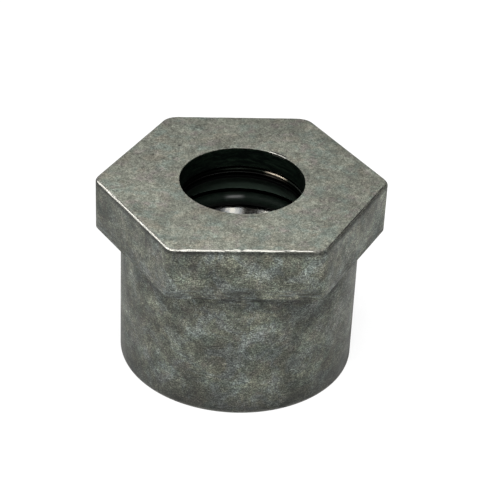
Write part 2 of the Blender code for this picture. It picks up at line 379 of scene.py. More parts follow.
@dataclass(frozen=True)
class MottledSteel:
    """Dull grey conversion-coated steel, cloudy and grainy, with its edges rubbed bright."""

    base: Colour = (0.101, 0.105, 0.086)
    olive: Colour = (0.106, 0.103, 0.083)
    sea_grey: Colour = (0.090, 0.103, 0.088)
    plum_grey: Colour = (0.104, 0.098, 0.087)
    frost: Colour = (0.130, 0.153, 0.154)
    side_tint: Colour = (0.985, 1.01, 0.92)
    stain: Colour = (0.056, 0.054, 0.040)
    pit: Colour = (0.022, 0.022, 0.018)
    scratch: Colour = (0.240, 0.240, 0.220)
    worn: Colour = (0.31, 0.304, 0.275)
    bore_bright: Colour = (0.013, 0.023, 0.015)
    bore_dull: Colour = (0.0018, 0.0040, 0.0030)
    # Painted shade for the bore behind the ring stack.
    painted_bore_shade: Colour = (0.0004, 0.0006, 0.0005)
    olive_places: Cloud = Cloud(2.6 * MM, offset=(0.3, 0.1, 0.7), limits=(0.48, 0.66))
    sea_places: Cloud = Cloud(2.0 * MM, offset=(0.9, 0.4, 0.2), limits=(0.46, 0.66))
    plum_places: Cloud = Cloud(1.7 * MM, offset=(0.5, 0.8, 0.6), limits=(0.50, 0.70))
    stain_places: Cloud = Cloud(4.5 * MM, 6.0, 0.65, 0.8, (0.7, 0.2, 0.4), limits=(0.50, 0.70))
    frost_places: Cloud = Cloud(3.0 * MM, 5.0, 0.62, 1.0, (0.1, 0.5, 0.3), limits=(0.44, 0.64))
    stain_amount: float = 0.6
    frost_amount: float = 0.54
    clouds: Cloud = Cloud(4.0 * MM, 5.0, 0.6, 0.7, limits=(0.34, 0.66), ends=(0.83, 1.15))
    patches: Cloud = Cloud(1.1 * MM, 4.0, 0.65, limits=(0.32, 0.68), ends=(0.89, 1.11))
    grain: Cloud = Cloud(0.32 * MM, 4.0, 0.75, 1.0, stretch=(0.8, 0.8, 2.0), ends=(0.63, 1.40))
    fine_grain: Cloud = Cloud(0.15 * MM, 2.0, 0.7, ends=(0.70, 1.34))
    contrast: Span = (1.25, 2.40)
    pit_spacing: float = 2.2 * MM
    pit_limits: Span = (0.05, 0.13)
    pit_raggedness: Cloud = Cloud(0.25 * MM, 3.0, ends=(-0.06, 0.06))
    pitted_places: Cloud = Cloud(2.3 * MM, 2.0, offset=(0.2, 0.6, 0.9), limits=(0.54, 0.60))
    scratches_along: Cloud = Cloud(1.6 * MM, 3.0, 0.7, 0.2, (0.2, 0.4, 0.1), (1.0, 14.0, 1.0))
    scratches_across: Cloud = Cloud(1.6 * MM, 3.0, 0.7, 0.2, (0.6, 0.1, 0.3), (16.0, 1.6, 1.0))
    scratch_limits: Span = (0.71, 0.76)
    dark_scuffs: Cloud = Cloud(1.0 * MM, 5.0, 0.74, 0.5, (0.4, 0.9, 0.1), (0.45, 0.45, 3.2), (0.51, 0.58))
    pale_scuffs: Cloud = Cloud(1.0 * MM, 5.0, 0.74, 0.5, (0.8, 0.9, 0.1), (0.45, 0.45, 3.2), (0.51, 0.58))
    dark_amount: float = 0.8
    pale_amount: float = 0.5
    wear_raggedness: Cloud = Cloud(0.38 * MM, 3.0, 0.7, limits=(0.28, 0.46), ends=(-0.48, 0.12))
    wear_limits: Span = (0.34, 0.66)
    mark_width: float = 0.32 * MM
    mark_limits: Span = (0.30, 0.70)
    mark_shade: Span = (0.4, 1.0)
    oil: Cloud = Cloud(0.9 * MM, 5.0, 0.7, 0.6, stretch=(0.5, 0.5, 2.4), limits=(0.42, 0.62))
    relief: float = 0.030 * MM
    raised_grain: Cloud = Cloud(0.32 * MM, 4.0, 0.75)
    raised_patches: Cloud = Cloud(1.1 * MM, 3.0)
    grain_relief: float = 0.65
    patch_relief: float = 0.5
    mark_relief: float = 0.3
    coat_roughness: Cloud = Cloud(4.0 * MM, ends=(0.66, 0.52))
    bore_roughness: float = 0.40
    worn_roughness: float = 0.32
    metal_share: Span = (0.25, 0.50)
    gloss: Span = (0.5, 0.06)

    def tinted(self, graph: Graph) -> Socket:
        """Mix the tints over the base colour, with frosty and stained patches on the sides.

        Args:
            graph: The material's graph.

        Returns:
            The tinted colour.
        """
        colour = graph.over(graph.cloudy(self.olive_places), self.base, self.olive)
        colour = graph.over(graph.cloudy(self.sea_places), colour, self.sea_grey)
        colour = graph.over(graph.cloudy(self.plum_places), colour, self.plum_grey)
        sides = graph.attribute(SIDE_STAIN)
        colour = graph.over(sides, colour, self.side_tint, Blend.MULTIPLY)
        stained = graph.times(graph.cloudy(self.stain_places), sides)
        colour = graph.over(graph.times(stained, self.stain_amount), colour, self.stain)
        frosted = graph.times(graph.cloudy(self.frost_places), graph.attribute(FROSTED))
        return graph.over(graph.times(frosted, self.frost_amount), colour, self.frost)

    def shaded(self, graph: Graph, colour: Socket) -> Socket:
        """Lighten and darken a colour with clouds, patches and two grains, and with the painted light and
        shade stored on the body.

        Args:
            graph: The material's graph.
            colour: The tinted colour.

        Returns:
            The mottled colour, with painted light and shade.
        """
        level = graph.cloudy(self.clouds)
        for part in (self.patches, self.grain, self.fine_grain):
            level = graph.times(level, graph.cloudy(part))
        contrast = graph.between(graph.attribute(SIDE_STAIN), *self.contrast)
        # Painted light and shade: the stored factor lightens and darkens the coating by where light falls.
        level = graph.times(graph.maths("POWER", level, contrast), graph.attribute(PAINTED_SHADING))
        shade = graph.tree.nodes.new("ShaderNodeCombineColor")
        for channel in ("Red", "Green", "Blue"):
            graph.link(level, shade.inputs[channel])
        return graph.over(1.0, colour, shade.outputs["Color"], Blend.MULTIPLY)

    def pits(self, graph: Graph) -> Socket:
        """Small scattered ragged pits, one where one is.

        Args:
            graph: The material's graph.

        Returns:
            The pit mask.
        """
        ragged = graph.maths("ADD", graph.cells(self.pit_spacing), graph.cloudy(self.pit_raggedness))
        holes = graph.spread(ragged, self.pit_limits, (1.0, 0.0))
        return graph.times(holes, graph.cloudy(self.pitted_places))

    def scratches(self, graph: Graph) -> Socket:
        """Fine light scratches in two directions.

        Args:
            graph: The material's graph.

        Returns:
            The scratch mask.
        """
        along, across = graph.noise(self.scratches_along), graph.noise(self.scratches_across)
        return graph.spread(graph.maths("MAXIMUM", along, across), self.scratch_limits)

    def scuffs(self, graph: Graph, strokes: Cloud) -> Socket:
        """Short level strokes where the shoulder has been knocked and dragged.

        Args:
            graph: The material's graph.
            strokes: The pattern of the strokes.

        Returns:
            The scuff mask.
        """
        return graph.times(graph.cloudy(strokes), graph.attribute(SCUFFED))

    def wear(self, graph: Graph) -> Socket:
        """Where the coating is rubbed off along the edges.

        Args:
            graph: The material's graph.

        Returns:
            The wear mask.
        """
        ragged = graph.maths("ADD", graph.attribute(EDGE_WEAR), graph.cloudy(self.wear_raggedness))
        return graph.spread(ragged, self.wear_limits)

    def bore_wall(self, graph: Graph, marks: Socket) -> Socket:
        """Colour of the turned bore, oily in streaks, painted black as shade from its wire's groove down
        to the clip's, and darkened by the painted shading elsewhere.

        Args:
            graph: The material's graph.
            marks: The turning marks.

        Returns:
            The colour.
        """
        oily = graph.times(graph.cloudy(self.oil), marks)
        turned = graph.over(oily, self.bore_dull, self.bore_bright)
        # Painted shade: black where the stored factor is zero, behind the ring stack.
        return graph.over(graph.attribute(PAINTED_SHADING), self.painted_bore_shade, turned)

    def build(self) -> bpy.types.Material:
        """Make the material.

        Returns:
            The material.
        """
        graph = Graph.named("mottled_steel")
        bore, pits, wear = graph.attribute(BARE_BORE), self.pits(graph), self.wear(graph)
        scratches = graph.times(self.scratches(graph), self.pale_amount)
        pale_scuffs = graph.times(self.scuffs(graph, self.pale_scuffs), self.pale_amount)
        scuffs = self.scuffs(graph, self.dark_scuffs)
        marks = graph.spread(graph.rings(self.mark_width), self.mark_limits, self.mark_shade)
        colour = self.shaded(graph, self.tinted(graph))
        colour = graph.over(scratches, colour, self.scratch)
        colour = graph.over(pale_scuffs, colour, self.frost)
        for dark in (scuffs, pits):
            colour = graph.over(graph.times(dark, self.dark_amount), colour, self.pit)
        colour = graph.over(bore, colour, self.bore_wall(graph, marks))
        colour = graph.over(wear, colour, self.worn)
        grain = graph.times(graph.noise(self.raised_grain), self.grain_relief)
        patches = graph.times(graph.noise(self.raised_patches), self.patch_relief)
        raised = graph.maths("ADD", grain, patches)
        raised = graph.maths("SUBTRACT", raised, graph.maths("MAXIMUM", pits, scuffs))
        graph.bump(graph.between(bore, raised, graph.times(marks, self.mark_relief)), self.relief)
        roughness = graph.between(bore, graph.cloudy(self.coat_roughness), self.bore_roughness)
        return graph.surface(
            base_color=colour,
            metallic=graph.between(wear, graph.between(bore, *self.metal_share), 1.0),
            roughness=graph.between(wear, roughness, self.worn_roughness),
            specular_ior_level=graph.between(bore, *self.gloss),
        )


@dataclass(frozen=True)
class TurnedMetal:
    """Bare metal with fine marks round its axis and a thin dull film."""

    name: str
    base: Colour
    dull: Colour
    roughness: Span
    rubbed: Colour | None = None
    film: Cloud = Cloud(1.4 * MM, 4.0, 0.6, 0.4, limits=(0.36, 0.66))
    film_amount: float = 0.6
    mark_width: float = 0.12 * MM
    mark_relief: float = 0.6
    grit: Cloud = Cloud(0.2 * MM, 3.0)
    relief: float = 0.004 * MM
    rough_limits: Span = (0.4, 1.3)

    def build(self) -> bpy.types.Material:
        """Make the material.

        Returns:
            The material.
        """
        graph = Graph.named(self.name)
        marks = graph.rings(self.mark_width)
        film = graph.cloudy(self.film)
        colour = graph.over(graph.times(film, self.film_amount), self.base, self.dull)
        if self.rubbed:
            colour = graph.over(graph.attribute(RUBBED), colour, self.rubbed)
        relief = graph.maths("ADD", graph.times(marks, self.mark_relief), graph.noise(self.grit))
        graph.bump(relief, self.relief)
        roughness = graph.spread(graph.maths("ADD", film, marks), self.rough_limits, self.roughness)
        return graph.surface(base_color=colour, metallic=1.0, roughness=roughness)


@dataclass(frozen=True)
class MouldedPolymer:
    """Rubber or filled plastic, with fine speckle, a little dust and perhaps an oily patch."""

    name: str
    base: Colour
    dust: Colour
    roughness: Span
    gloss: float
    oiled_roughness: float | None = None
    oiled_gloss: float = 0.5
    oil_least: float = 0.85
    dust_amount: float = 0.5
    grain: Cloud = Cloud(0.18 * MM, 4.0, 0.65, limits=(0.40, 0.68))
    film: Cloud = Cloud(1.1 * MM, 4.0, 0.6, 0.5, limits=(0.42, 0.70))
    relief: float = 0.006 * MM

    def build(self) -> bpy.types.Material:
        """Make the material.

        Returns:
            The material.
        """
        graph = Graph.named(self.name)
        grain = graph.noise(self.grain)
        film = graph.cloudy(self.film)
        speckle = graph.spread(grain, self.grain.limits)
        dust = graph.times(graph.maths("MAXIMUM", film, speckle), self.dust_amount)
        graph.bump(grain, self.relief)
        roughness = graph.spread(film, UNIT, self.roughness)
        gloss: Socket | float = self.gloss
        if self.oiled_roughness:
            oil = graph.times(graph.attribute(RUBBED), graph.maths("MAXIMUM", film, self.oil_least))
            roughness = graph.between(oil, roughness, self.oiled_roughness)
            gloss = graph.between(oil, self.gloss, self.oiled_gloss)
        return graph.surface(
            base_color=graph.over(dust, self.base, self.dust),
            metallic=0.0,
            roughness=roughness,
            specular_ior_level=gloss,
        )


@dataclass(frozen=True)
class StudioPaper:
    """Pale matte backdrop paper, with a glow of its own that keeps it white."""

    base: Colour = (0.110, 0.110, 0.110)
    shade: Colour = (0.095, 0.095, 0.095)
    glow: Colour = (1.0, 1.0, 1.0)
    glow_strength: float = 0.84
    fibre: Cloud = Cloud(6.0 * MM, 5.0)
    tooth: Cloud = Cloud(0.5 * MM, 3.0)
    relief: float = 0.01 * MM
    relief_strength: float = 0.3
    roughness: Span = (0.9, 0.95)

    def build(self) -> bpy.types.Material:
        """Make the material.

        Returns:
            The material.
        """
        graph = Graph.named("studio_paper")
        fibre = graph.cloudy(self.fibre)
        graph.bump(graph.noise(self.tooth), self.relief, self.relief_strength)
        return graph.surface(
            base_color=graph.over(fibre, self.base, self.shade),
            roughness=graph.spread(fibre, UNIT, self.roughness),
            emission_color=self.glow,
            emission_strength=self.glow_strength,
        )


SPRING_WIRE = TurnedMetal(
    "spring_wire",
    base=(0.004, 0.005, 0.004),
    dull=(0.002, 0.003, 0.002),
    roughness=(0.24, 0.34),
    rubbed=(0.115, 0.10, 0.078),
)
GROUND_STEEL = TurnedMetal(
    "ground_steel",
    base=(0.124, 0.120, 0.108),
    dull=(0.050, 0.058, 0.066),
    roughness=(0.13, 0.20),
)
BLACKENED_STEEL = TurnedMetal(
    "blackened_steel",
    base=(0.10, 0.10, 0.105),
    dull=(0.05, 0.05, 0.055),
    roughness=(0.36, 0.50),
)
GREY_NYLON = MouldedPolymer(
    "grey_nylon",
    base=(0.038, 0.058, 0.044),
    dust=(0.056, 0.078, 0.064),
    roughness=(0.75, 0.9),
    gloss=0.08,
)
BLACK_RUBBER = MouldedPolymer(
    "black_rubber",
    base=(0.002, 0.0035, 0.0025),
    dust=(0.006, 0.009, 0.007),
    roughness=(0.50, 0.62),
    gloss=0.03,
    oiled_roughness=0.34,
)


# ---------------------------------------------------------------------------------------------
# Shared modelling tools


@dataclass(frozen=True)
class Corner:
    """A corner of a turned section: radius and height in metres, and the rounding there."""

    radius: float
    height: float
    round: float = 0.0


def arc_points(before: Vector, corner: Vector, after: Vector, radius: float, steps: int) -> list[Vector]:
    """Replace a corner by an arc that touches both of its sides.

    Args:
        before: The point before the corner.
        corner: The corner.
        after: The point after it.
        radius: Radius of the arc.
        steps: Number of chords.

    Returns:
        Points of the arc, in order.
    """
    back = (before - corner).normalized()
    ahead = (after - corner).normalized()
    half = back.angle(ahead) / 2.0
    centre = corner + (back + ahead).normalized() * radius / math.sin(half)
    start = corner + back * radius / math.tan(half) - centre
    end = corner + ahead * radius / math.tan(half) - centre
    turn = start.rotation_difference(end)
    return [centre + Quaternion().slerp(turn, step / steps) @ start for step in range(steps + 1)]


def section_points(corners: Sequence[Corner]) -> list[Vector]:
    """Points of a closed section in the XZ plane, with its corners rounded.

    Args:
        corners: The corners, in order round the section.

    Returns:
        The points, in order.
    """
    spots = [Vector((corner.radius, 0.0, corner.height)) for corner in corners]
    points: list[Vector] = []
    for index, corner in enumerate(corners):
        if corner.round > 0.0:
            after = spots[(index + 1) % len(spots)]
            points += arc_points(spots[index - 1], spots[index], after, corner.round, ROUNDING_STEPS)
        else:
            points.append(spots[index])
    return points


def closed_loop(shape: bmesh.types.BMesh, points: Sequence[Vector]) -> list[bmesh.types.BMEdge]:
    """Join points into a closed loop of edges.

    Args:
        shape: The bmesh to add it to.
        points: The points, in order.

    Returns:
        The edges.
    """
    corners = [shape.verts.new(point) for point in points]
    return [shape.edges.new((corner, corners[index - 1])) for index, corner in enumerate(corners)]


def split_long_edges(shape: bmesh.types.BMesh, longest: float) -> None:
    """Subdivide every edge that is longer than a length.

    Args:
        shape: The bmesh.
        longest: The length, in metres.
    """
    for edge in list(shape.edges):
        cuts = math.ceil(edge.calc_length() / longest) - 1
        if cuts > 0:
            bmesh.ops.subdivide_edges(shape, edges=[edge], cuts=cuts)


def spin(shape: bmesh.types.BMesh, angle: float, steps: int) -> None:
    """Spin a section round the Z axis.

    Args:
        shape: A bmesh that holds only the section.
        angle: How far round.
        steps: Number of steps.
    """
    bmesh.ops.spin(
        shape, geom=shape.verts[:] + shape.edges[:], cent=(0.0, 0.0, 0.0), axis=(0.0, 0.0, 1.0),
        dvec=(0.0, 0.0, 0.0), angle=angle, steps=steps, use_merge=angle == math.tau, use_duplicate=False,
    )


def revolve(shape: bmesh.types.BMesh, steps: int) -> None:
    """Spin a section all the way round the Z axis and point its faces outwards.

    Args:
        shape: A bmesh that holds only the section.
        steps: Number of steps in the full turn.
    """
    spin(shape, math.tau, steps)
    bmesh.ops.remove_doubles(shape, verts=shape.verts, dist=MERGE_DISTANCE)
    bmesh.ops.recalc_face_normals(shape, faces=shape.faces)


def turned_shape(corners: Sequence[Corner], steps: int, longest: float) -> bmesh.types.BMesh:
    """Turn a solid from its section.

    Args:
        corners: Corners of the section.
        steps: Number of steps in the full turn.
        longest: Longest edge left in the section, in metres.

    Returns:
        The solid.
    """
    shape = bmesh.new()
    closed_loop(shape, section_points(corners))
    split_long_edges(shape, longest)
    revolve(shape, steps)
    return shape


def add_circle(shape: bmesh.types.BMesh, radius: float, steps: int, place: Matrix) -> None:
    """Add a circle of edges.

    Args:
        shape: The bmesh to add it to.
        radius: Its radius.
        steps: Number of chords.
        place: Where its centre goes, and how it is turned.
    """
    bmesh.ops.create_circle(shape, cap_ends=False, segments=steps, radius=radius, matrix=place)


def wire_place(radius: float, height: float) -> Matrix:
    """Place of a round wire's section: upright in the XZ plane, at a radius and height."""
    return Matrix.Translation((radius, 0.0, height)) @ Matrix.Rotation(QUARTER_TURN, 4, "X")


def round_edges(
    shape: bmesh.types.BMesh, edges: Sequence[bmesh.types.BMEdge], offset: float, steps: int
) -> None:
    """Round off some edges.

    Args:
        shape: The bmesh.
        edges: Its edges to round.
        offset: How far the rounding reaches from each edge.
        steps: Number of chords across it.
    """
    bmesh.ops.bevel(
        shape, geom=edges, offset=offset, segments=steps, profile=0.5, affect="EDGES", material=-1
    )


def as_object(shape: bmesh.types.BMesh, name: str) -> bpy.types.Object:
    """Turn a bmesh into a smooth-shaded object at the origin.

    Args:
        shape: The bmesh, which is freed.
        name: Name of the object.

    Returns:
        The object.
    """
    mesh = bpy.data.meshes.new(name)
    shape.to_mesh(mesh)
    shape.free()
    mesh.shade_smooth()
    mesh.set_sharp_from_angle(angle=SMOOTH_ANGLE)
    piece = bpy.data.objects.new(name, mesh)
    bpy.context.scene.collection.objects.link(piece)
    return piece


def store_values(piece: bpy.types.Object, name: str, rule: Callable[[Vector], float]) -> None:
    """Store a number on every point of a piece.

    Args:
        piece: The piece.
        name: Name of the number.
        rule: Gives the number from the point's place.
    """
    values = piece.data.attributes.new(name, "FLOAT", "POINT")
    values.data.foreach_set("value", [rule(vertex.co) for vertex in piece.data.vertices])


def hand_over(
    piece: bpy.types.Object, node: str, material: bpy.types.Material
) -> bpy.types.Object:
    """Dress a piece, put it on the root body and let it stand for its CAD node.

    Args:
        piece: The piece.
        node: The CAD node.
        material: The finish.

    Returns:
        The piece.
    """
    piece.data.materials.clear()
    piece.data.materials.append(material)
    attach(piece, Body.ROOT.value)
    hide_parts(node)
    return piece


@dataclass(frozen=True)
class RubbedArc:
    """A stretch of a ring that is rubbed or oiled: its middle and half-width, as angles from +X."""

    middle: float
    half_width: float
    fade: Span = (0.5, 1.2)

    def at(self, place: Vector) -> float:
        """One in the stretch, falling to zero round its ends."""
        away = abs(math.atan2(place.y, place.x) - self.middle)
        return 1.0 - smooth_step(*self.fade, away / self.half_width)


# ---------------------------------------------------------------------------------------------
# Pieces


@dataclass
class TurnedBody:
    """The hexagon head and the spigot, bored out for the ring stack."""

    across_flats: float = 31.998 * MM
    head_height: float = 7.0 * MM
    spigot_length: float = 18.0 * MM
    spigot_radius: float = 15.1 * MM
    mouth_radius: float = 7.85 * MM
    cavity_radius: float = 12.0 * MM
    lip_depth: float = 4.5 * MM
    groove_radius: float = 8.9 * MM
    groove_depths: Span = (2.7 * MM, 4.1 * MM)
    clip_groove_radius: float = 12.9 * MM
    clip_groove_heights: Span = (1.6 * MM, 3.4 * MM)
    corner_round: float = 1.6 * MM
    rim_corner_round: float = 3.8 * MM
    rim_round: float = 0.45 * MM
    foot_round: float = 0.15 * MM
    mouth_round: float = 0.14 * MM
    cavity_break: float = 0.5 * MM
    blank_radius: float = 18.0 * MM
    rim_zone: float = 0.6 * MM
    shoulder_fillet: float = 0.15 * MM
    shoulder_round: float = 0.10 * MM
    cavity_round: float = 0.2 * MM
    edge_break: float = 0.06 * MM
    mouth_land: float = 0.42 * MM
    section_edge: float = 1.0 * MM
    corner_steps: int = 5
    flat_steps: int = 48
    nick_depth: float = 0.075 * MM
    nick_sizes: Span = (1.1 * MM, 0.45 * MM)
    small_nicks: float = 0.6
    nick_limits: Span = (0.05, 0.9)
    rub_inset: Span = (0.55, 0.85)
    rub_drop: Span = (0.80, 1.25)
    rub_reach: float = 0.27
    rub_growth: float = 0.25
    rub_least: float = 0.24
    worn_side: float = math.radians(-145.0)
    rubbed_mouth: RubbedArc = RubbedArc(math.radians(52.0), math.radians(11.0))
    mouth_rub: Span = (0.10, 0.82)
    mouth_rub_zone: Span = (0.14 * MM, 0.26 * MM)
    foot_rub: float = 0.34
    foot_rub_zone: Span = (0.2 * MM, 0.5 * MM)
    bore_start: Span = (0.02 * MM, 0.14 * MM)
    bore_end: Span = (0.0, 0.4 * MM)
    bore_fade: float = 0.2 * MM
    top_end: Span = (0.2, 0.6)
    # Painted light and shade: the top's level and its slopes to the back and right, and the flats' level
    # and slope to the left.
    top_painted_light: float = 0.965
    top_painted_slope: Span = (-4.7, -9.0)
    flat_painted_light: float = 0.745
    flat_painted_slope: float = 9.0
    shoulder_fade: float = 0.1 * MM
    # Painted light and shade on the spigot: its level, darker to the right, painted lighter under the head
    # against the head's shadow, and darker towards the foot.
    spigot_painted_light: float = 0.69
    spigot_painted_slope: float = -5.0
    collar_painted_light: float = 1.50
    collar_drop: Span = (2.2 * MM, 0.7 * MM)
    foot_darkening: float = 0.20
    foot_rise: Span = (-1.0 * MM, 6.0 * MM)
    # Painted dark reflection in the top rim's rounding and just below it.
    rim_reflection_darkness: float = 0.32
    rim_reflection_start: Span = (0.05, 0.30)
    rim_reflection_depth: float = 0.9 * MM
    frost_side: float = math.radians(-98.0)
    frost_least: float = 0.35
    scuff_reach: Span = (0.6 * MM, 2.2 * MM)

    @property
    def height(self) -> float:
        """Overall height."""
        return self.spigot_length + self.head_height

    @property
    def steps(self) -> int:
        """Steps in a full turn."""
        return HEXAGON_SIDES * (self.flat_steps + 2 * self.corner_steps)

    def corners(self) -> list[Corner]:
        """Section of the round blank, from the foot up the outside and down the bore."""
        top = self.height
        rim = self.blank_radius
        mouth = self.mouth_radius
        upper, lower = (top - depth for depth in self.groove_depths)
        clip_low, clip_high = self.clip_groove_heights
        small = self.edge_break
        return [
            Corner(self.spigot_radius, 0.0, self.foot_round),
            Corner(self.spigot_radius, self.spigot_length, self.shoulder_fillet),
            Corner(rim - self.rim_zone, self.spigot_length),
            Corner(rim, self.spigot_length, self.shoulder_round),
            Corner(rim, top - self.rim_reflection_depth),
            Corner(rim, top, self.rim_round),
            Corner(rim - self.rim_zone, top),
            Corner(mouth + self.rim_zone, top),
            Corner(mouth, top, self.mouth_round),
            Corner(mouth, top - self.mouth_land),
            Corner(mouth, upper, small),
            Corner(self.groove_radius, upper, small),
            Corner(self.groove_radius, lower, small),
            Corner(mouth, lower, small),
            Corner(mouth, top - self.lip_depth, small),
            Corner(self.cavity_radius, top - self.lip_depth, self.cavity_round),
            Corner(self.cavity_radius, clip_high, small),
            Corner(self.clip_groove_radius, clip_high, small),
            Corner(self.clip_groove_radius, clip_low, small),
            Corner(self.cavity_radius, clip_low, small),
            Corner(self.cavity_radius, self.cavity_break, small),
            Corner(self.cavity_radius + self.cavity_break, 0.0, small),
        ]

    def hexagon_radius(self, angle: float, inset: float) -> float:
        """Distance from the axis to the rounded hexagon, set in by an inset.

        The rounding grows inwards, as where a turned chamfer has taken the corners off the top.

        Args:
            angle: Direction from the axis, from +X.
            inset: How far inside the outer faces.

        Returns:
            The distance.
        """
        reach = self.across_flats / 2.0 - inset
        growth = (self.rim_corner_round - self.corner_round) / self.rim_round
        rounding = self.corner_round + growth * min(inset, self.rim_round)
        from_corner = abs((angle + SECTOR / 2.0) % SECTOR - SECTOR / 2.0)
        from_flat = SECTOR / 2.0 - from_corner
        if reach * math.tan(from_flat) <= (reach - rounding) * math.tan(SECTOR / 2.0):
            return reach / math.cos(from_flat)
        centre = (reach - rounding) / math.cos(SECTOR / 2.0)
        aside = centre * math.sin(from_corner)
        return centre * math.cos(from_corner) + math.sqrt(rounding**2 - aside**2)

    def angles(self) -> list[float]:
        """Directions of the section's copies, closer together round the hexagon's corners."""
        reach = self.across_flats / 2.0
        tangent = math.atan((reach - self.corner_round) * math.tan(SECTOR / 2.0) / reach)
        half = SECTOR / 2.0 - tangent
        stretches = (
            (0.0, half, self.corner_steps),
            (half, SECTOR - 2.0 * half, self.flat_steps),
            (SECTOR - half, half, self.corner_steps),
        )
        return [
            side * SECTOR + start + length * step / steps
            for side in range(HEXAGON_SIDES)
            for start, length, steps in stretches
            for step in range(steps)
        ]

    def milled_radius(self, radius: float, height: float, angle: float) -> float:
        """Where a point of the blank's head goes when the hexagon is milled.

        Args:
            radius: Its distance from the axis on the blank.
            height: Its height.
            angle: Its direction.

        Returns:
            Its new distance from the axis.
        """
        if height < self.spigot_length - MERGE_DISTANCE:
            return radius
        zone = self.blank_radius - self.rim_zone
        if radius >= zone - MERGE_DISTANCE:
            return self.hexagon_radius(angle, self.blank_radius - radius)
        on_shoulder = height < self.height - self.rim_zone
        inner = self.spigot_radius if on_shoulder else self.mouth_radius + self.rim_zone
        if radius <= inner:
            return radius
        along = (radius - inner) / (zone - inner)
        return inner + along * (self.hexagon_radius(angle, self.rim_zone) - inner)

    def mill_hexagon(self, shape: bmesh.types.BMesh) -> None:
        """Turn the blank's round head into the hexagon.

        Args:
            shape: The turned blank.
        """
        angles = self.angles()
        step = math.tau / self.steps
        for vertex in shape.verts:
            turn = math.atan2(vertex.co.y, vertex.co.x) % math.tau
            angle = angles[round(turn / step) % self.steps]
            radius = math.hypot(vertex.co.x, vertex.co.y)
            radius = self.milled_radius(radius, vertex.co.z, angle)
            vertex.co.x = radius * math.cos(angle)
            vertex.co.y = radius * math.sin(angle)

    def rim_closeness(self, place: Vector) -> float:
        """One on the middle of the top rim's rounding, falling to zero at its ends.

        Args:
            place: A point of the body.

        Returns:
            The closeness.
        """
        angle = math.atan2(place.y, place.x)
        inset = (self.hexagon_radius(angle, 0.0) - math.hypot(place.x, place.y)) / self.rim_round
        drop = (self.height - place.z) / self.rim_round
        growth = self.rub_growth * math.cos(angle - self.worn_side)
        reach = max(self.rub_least, self.rub_reach + growth)
        return 1.0 - max(smooth_step(*self.rub_inset, inset), smooth_step(*self.rub_drop, drop / reach))

    def dent_edges(self, shape: bmesh.types.BMesh) -> None:
        """Knock small nicks into the top rim.

        Args:
            shape: The milled body.
        """
        large, small = self.nick_sizes
        for vertex in shape.verts:
            close = self.rim_closeness(vertex.co)
            if close > 0.0:
                bite = noise.noise(vertex.co / large) + self.small_nicks * noise.noise(vertex.co / small)
                depth = self.nick_depth * close * smooth_step(*self.nick_limits, bite)
                inwards = Vector((-vertex.co.x, -vertex.co.y, 0.0)).normalized()
                vertex.co += (inwards - Vector((0.0, 0.0, 1.0))) * depth

    def wear(self, place: Vector) -> float:
        """How far the coating is rubbed at a point.

        Args:
            place: A point of the body.

        Returns:
            Zero to one.
        """
        radius = math.hypot(place.x, place.y)
        from_mouth = abs(radius - self.mouth_radius) + abs(self.height - place.z)
        from_foot = abs(radius - self.spigot_radius) + place.z
        least, most = self.mouth_rub
        rubbed = least + (most - least) * self.rubbed_mouth.at(place)
        mouth = rubbed * (1.0 - smooth_step(*self.mouth_rub_zone, from_mouth))
        foot = self.foot_rub * (1.0 - smooth_step(*self.foot_rub_zone, from_foot))
        return max(self.rim_closeness(place), mouth, foot)

    def bore(self, place: Vector) -> float:
        """Where the dark, oily bore finish is.

        Args:
            place: A point of the body.

        Returns:
            One inside the bore and zero outside it.
        """
        radius = math.hypot(place.x, place.y)
        below_top = smooth_step(*self.bore_start, self.height - place.z)
        above_foot = smooth_step(*self.bore_end, place.z)
        outermost = self.clip_groove_radius
        inside = 1.0 - smooth_step(outermost, outermost + self.bore_fade, radius)
        return below_top * above_foot * inside

    def side(self, place: Vector) -> float:
        """Zero on the top face and one on the rest."""
        return smooth_step(*self.top_end, (self.height - place.z) / self.rim_round)

    def spigot_shade(self, place: Vector) -> float:
        """Painted light and shade on the spigot: painted lighter under the head against the head's shadow,
        painted darker towards the right, and darker towards the foot.

        Args:
            place: A point of the body.

        Returns:
            A factor.
        """
        start, end = (self.spigot_length - drop for drop in self.collar_drop)
        collar = 1.0 + (self.collar_painted_light - 1.0) * smooth_step(start, end, place.z)
        foot = self.foot_darkening + (1.0 - self.foot_darkening) * smooth_step(*self.foot_rise, place.z)
        return (self.spigot_painted_light + self.spigot_painted_slope * place.x) * collar * foot

    def painted_light_and_shade(self, place: Vector) -> float:
        """Painted light and shade on the coating: the top painted darker to the back and right, the flats
        painted darker to the left.

        Args:
            place: A point of the body.

        Returns:
            A factor near one, or zero inside the bore from the wire's groove down to the clip's, where the
            bore is painted black as shade.
        """
        # Painted shade: the body's bore behind the ring stack is painted black.
        in_stack = self.clip_groove_heights[1] < place.z < self.height - self.groove_depths[0]
        if in_stack and math.hypot(place.x, place.y) < self.clip_groove_radius:
            return 0.0
        top = self.top_painted_light + self.top_painted_slope[0] * place.x + self.top_painted_slope[1] * place.y
        flat = self.flat_painted_light + self.flat_painted_slope * place.x
        spigot = self.spigot_shade(place)
        on_head = smooth_step(self.spigot_length - self.shoulder_fade, self.spigot_length, place.z)
        side = self.side(place)
        # Painted light and shade of the top and the sides, times the painted dark reflection along the
        # rim.
        return (top * (1.0 - side) + (spigot + (flat - spigot) * on_head) * side) * self.painted_rim_reflection(place)

